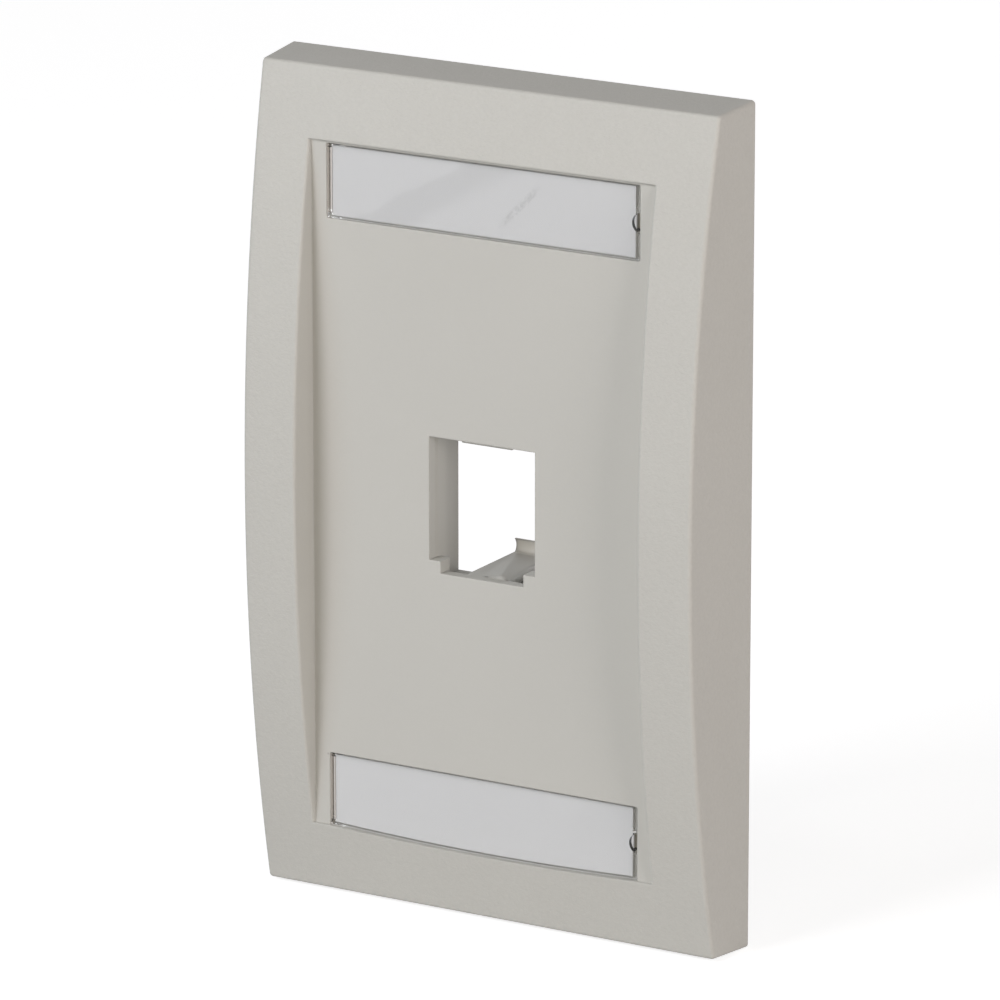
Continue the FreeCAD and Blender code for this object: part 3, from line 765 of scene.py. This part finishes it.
class FaceplateStage(bpy.types.PropertyGroup):
    """Camera, lamps and floor."""

    azimuth: bpy.props.FloatProperty(
        name="Azimuth",
        description="How far the camera stands round to the right of the plate",
        subtype="ANGLE",
        default=math.radians(30.46),
    )
    elevation: bpy.props.FloatProperty(
        name="Elevation",
        description="How far the camera stands above the plate",
        subtype="ANGLE",
        default=math.radians(15.73),
    )
    distance: bpy.props.FloatProperty(
        name="Distance",
        description="From the camera to the plate",
        unit="LENGTH",
        default=1.04382,
    )
    lens: bpy.props.FloatProperty(
        name="Lens",
        description="Focal length of the camera",
        unit="CAMERA",
        default=284.86,
    )
    key_power: bpy.props.FloatProperty(
        name="Key lamp",
        description="Power of the high lamp at the left front",
        unit="POWER",
        default=7.24,
    )
    low_key_power: bpy.props.FloatProperty(
        name="Low key lamp",
        description="Power of the low lamp at the left front",
        unit="POWER",
        default=2.2,
    )
    left_power: bpy.props.FloatProperty(
        name="Left lamp",
        description="Power of the low lamp on the left",
        unit="POWER",
        default=2.64,
    )
    front_power: bpy.props.FloatProperty(
        name="Front lamp",
        description="Power of the low lamp at the right front",
        unit="POWER",
        default=2.25,
    )
    side_power: bpy.props.FloatProperty(
        name="Side lamp",
        description="Power of the low lamp on the right",
        unit="POWER",
        default=6.43,
    )
    high_side_power: bpy.props.FloatProperty(
        name="High side lamp",
        description="Power of the high lamp on the right",
        unit="POWER",
        default=2.07,
    )
    back_power: bpy.props.FloatProperty(
        name="Back lamp",
        description="Power of the soft lamp behind",
        unit="POWER",
        default=9.0,
    )
    sky_strength: bpy.props.FloatProperty(
        name="Surroundings",
        description="Even light from all round",
        min=0.0,
        default=0.10,
    )
    floor_colour: bpy.props.FloatVectorProperty(
        name="Floor colour",
        description="Colour of the floor",
        subtype="COLOR",
        size=3,
        min=0.0,
        max=1.0,
        default=(0.55, 0.55, 0.55),
    )
    floor_glow: bpy.props.FloatProperty(
        name="Floor white",
        description="How white the floor looks where no shadow falls on it",
        min=0.0,
        default=0.78,
    )


# ------------------------------------------------------------------ operators


class FACEPLATE_OT_shell(bpy.types.Operator):
    """Finish the moulded shell"""

    bl_idname = "faceplate.shell"
    bl_label = "Moulded shell"

    def execute(self, context):
        material = shell_plastic(context.scene.faceplate_finish)
        finish_node("faceplate", material)
        return {"FINISHED"}


class FACEPLATE_OT_labels(bpy.types.Operator):
    """Finish the two label cards"""

    bl_idname = "faceplate.labels"
    bl_label = "Label cards"

    def execute(self, context):
        material = label_card(context.scene.faceplate_finish)
        for name in ("upper_label", "lower_label"):
            finish_node(name, material)
        return {"FINISHED"}


class FACEPLATE_OT_covers(bpy.types.Operator):
    """Finish the two clear label covers"""

    bl_idname = "faceplate.covers"
    bl_label = "Clear covers"

    def execute(self, context):
        material = clear_plastic(context.scene.faceplate_finish)
        for name in ("upper_label_cover", "lower_label_cover"):
            finish_node(name, material)
        return {"FINISHED"}


class FACEPLATE_OT_screws(bpy.types.Operator):
    """Model one threaded mounting screw, copy it, and finish both"""

    bl_idname = "faceplate.screws"
    bl_label = "Mounting screws"

    def execute(self, context):
        material = plated_steel(context.scene.faceplate_finish)
        upper = machine_screw(
            context, context.scene.faceplate_screw, "threaded_upper_screw", SCREW_LOW, SCREW_HIGH
        )
        upper.data.materials.clear()
        upper.data.materials.append(material)
        select_alone(context, upper)
        bpy.ops.object.duplicate(linked=False)
        lower = context.object
        lower.name = "threaded_lower_screw"
        bpy.ops.transform.translate(value=(0.0, 0.0, LOWER_SCREW_LOW.z - SCREW_LOW.z))
        bpy.ops.object.transform_apply(location=True)
        for screw, node in ((upper, "upper_screw"), (lower, "lower_screw")):
            finish_node(node, material)
            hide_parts(node)
            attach(screw, "plate")
        return {"FINISHED"}


def floor_material(settings):
    """Pale floor that looks white where it is lit and still takes the shadow."""
    material, tree, output, place = new_material("studio_floor")
    cloud = noise(tree, place, 3.0, 2.0)
    factor = calculate(tree, "ADD", 0.99, calculate(tree, "MULTIPLY", cloud, 0.02))
    colour = add_node(tree, "VectorMath", {0: rgba(settings.floor_colour)[:3], 3: factor}, operation="SCALE").outputs[0]
    matt = add_node(tree, "BsdfDiffuse", {"Color": colour})
    path = add_node(tree, "LightPath").outputs
    seen = calculate(tree, "MAXIMUM", path["Is Camera Ray"], path["Is Glossy Ray"])
    seen = calculate(tree, "MAXIMUM", seen, path["Is Transmission Ray"])
    glow = add_node(
        tree,
        "Emission",
        {"Color": (1.0, 1.0, 1.0, 1.0), "Strength": calculate(tree, "MULTIPLY", seen, settings.floor_glow)},
    )
    both = add_node(tree, "AddShader", {0: matt.outputs[0], 1: glow.outputs[0]})
    tree.links.new(both.outputs[0], output.inputs["Surface"])
    return material


def add_lamp(name, power, azimuth, elevation, colour):
    """A square soft lamp aimed at the plate; azimuth 0 is straight in front and grows to the right."""
    lamp = bpy.data.lights.new(name, "AREA")
    lamp.shape = "SQUARE"
    lamp.size = LAMP_SIZE
    lamp.energy = power
    lamp.color = colour
    holder = bpy.data.objects.new(name, lamp)
    bpy.context.scene.collection.objects.link(holder)
    turn, rise = math.radians(azimuth), math.radians(elevation)
    toward = Vector((math.sin(turn) * math.cos(rise), -math.cos(turn) * math.cos(rise), math.sin(rise)))
    holder.location = toward * LAMP_DISTANCE
    holder.rotation_euler = toward.to_track_quat("Z", "Y").to_euler()
    return holder


class FACEPLATE_OT_stage(bpy.types.Operator):
    """Set up the camera, the soft lamps and the pale floor"""

    bl_idname = "faceplate.stage"
    bl_label = "Camera, lamps and floor"

    def execute(self, context):
        settings = context.scene.faceplate_stage
        bpy.ops.object.select_all(action="DESELECT")
        bpy.ops.mesh.primitive_plane_add(size=12.0, location=(0.0, 0.0, cad_box[0].z))
        floor = context.object
        floor.name = "studio_floor"
        floor.data.materials.append(floor_material(settings))

        add_lamp("key_lamp", settings.key_power, -22.0, 34.0, (0.993, 0.984, 1.0))
        add_lamp("low_key_lamp", settings.low_key_power, -22.0, 6.0, (0.907, 0.901, 1.0))
        add_lamp("left_lamp", settings.left_power, -45.0, 12.0, (0.73, 0.883, 1.0))
        add_lamp("front_lamp", settings.front_power, 22.0, 8.0, (1.0, 0.9, 0.71))
        add_lamp("side_lamp", settings.side_power, 70.0, 10.0, (1.0, 0.954, 0.948))
        add_lamp("high_side_lamp", settings.high_side_power, 92.0, 22.0, (1.0, 0.894, 0.895))
        add_lamp("back_lamp", settings.back_power, 176.0, 0.0, (1.0, 1.0, 1.0))

        world = bpy.data.worlds.new("studio")
        world.use_nodes = True
        tree = world.node_tree
        tree.nodes.clear()
        path = add_node(tree, "LightPath").outputs
        seen = calculate(tree, "MAXIMUM", path["Is Camera Ray"], path["Is Glossy Ray"])
        seen = calculate(tree, "MAXIMUM", seen, path["Is Transmission Ray"])
        around = add_node(tree, "Background", {"Color": (1.0, 1.0, 1.0, 1.0), "Strength": settings.sky_strength})
        white = add_node(tree, "Background", {"Color": (1.0, 1.0, 1.0, 1.0), "Strength": 1.0})
        mixed = add_node(tree, "MixShader", {0: seen, 1: around.outputs[0], 2: white.outputs[0]})
        output = add_node(tree, "OutputWorld")
        tree.links.new(mixed.outputs[0], output.inputs["Surface"])
        context.scene.world = world

        view = bpy.data.cameras.new("camera")
        view.sensor_width = 36.0
        view.lens = settings.lens
        camera = bpy.data.objects.new("camera", view)
        context.scene.collection.objects.link(camera)
        turn, rise = settings.azimuth, settings.elevation
        forward = Vector((-math.sin(turn) * math.cos(rise), math.cos(turn) * math.cos(rise), -math.sin(rise)))
        right = Vector((math.cos(turn), math.sin(turn), 0.0))
        up = right.cross(forward)
        aim = -(2.5345 * right + 0.8523 * up) * MM
        camera.location = aim - forward * settings.distance
        camera.rotation_euler = (-forward).to_track_quat("Z", "Y").to_euler()
        view.clip_start = 0.05
        view.clip_end = 30.0
        context.scene.camera = camera
        context.scene.view_settings.view_transform = "Standard"
        return {"FINISHED"}


class FACEPLATE_PT_panel(bpy.types.Panel):
    """Sidebar panel that lists the steps and their settings"""

    bl_idname = "FACEPLATE_PT_panel"
    bl_label = "Keystone faceplate"
    bl_space_type = "VIEW_3D"
    bl_region_type = "UI"
    bl_category = "Faceplate"

    def draw(self, context):
        layout = self.layout
        for step in STEPS:
            layout.operator(step.bl_idname)
        scene = context.scene
        for group in (scene.faceplate_finish, scene.faceplate_screw, scene.faceplate_stage):
            column = layout.column(align=True)
            for name in group.bl_rna.properties.keys():
                if name not in {"rna_type", "name"}:
                    column.prop(group, name)


STEPS = (
    FACEPLATE_OT_shell,
    FACEPLATE_OT_labels,
    FACEPLATE_OT_covers,
    FACEPLATE_OT_screws,
    FACEPLATE_OT_stage,
)
CLASSES = (FaceplateFinish, FaceplateScrew, FaceplateStage) + STEPS + (FACEPLATE_PT_panel,)


def register():
    """Registers the classes and their settings."""
    for cls in CLASSES:
        bpy.utils.register_class(cls)
    bpy.types.Scene.faceplate_finish = bpy.props.PointerProperty(type=FaceplateFinish)
    bpy.types.Scene.faceplate_screw = bpy.props.PointerProperty(type=FaceplateScrew)
    bpy.types.Scene.faceplate_stage = bpy.props.PointerProperty(type=FaceplateStage)


def unregister():
    """Removes the settings and the classes."""
    del bpy.types.Scene.faceplate_stage
    del bpy.types.Scene.faceplate_screw
    del bpy.types.Scene.faceplate_finish
    for cls in reversed(CLASSES):
        bpy.utils.unregister_class(cls)


def main():
    """Builds everything in order."""
    register()
    bpy.ops.faceplate.shell()
    bpy.ops.faceplate.labels()
    bpy.ops.faceplate.covers()
    bpy.ops.faceplate.screws()
    bpy.ops.faceplate.stage()


if __name__ == "__main__":
    main()
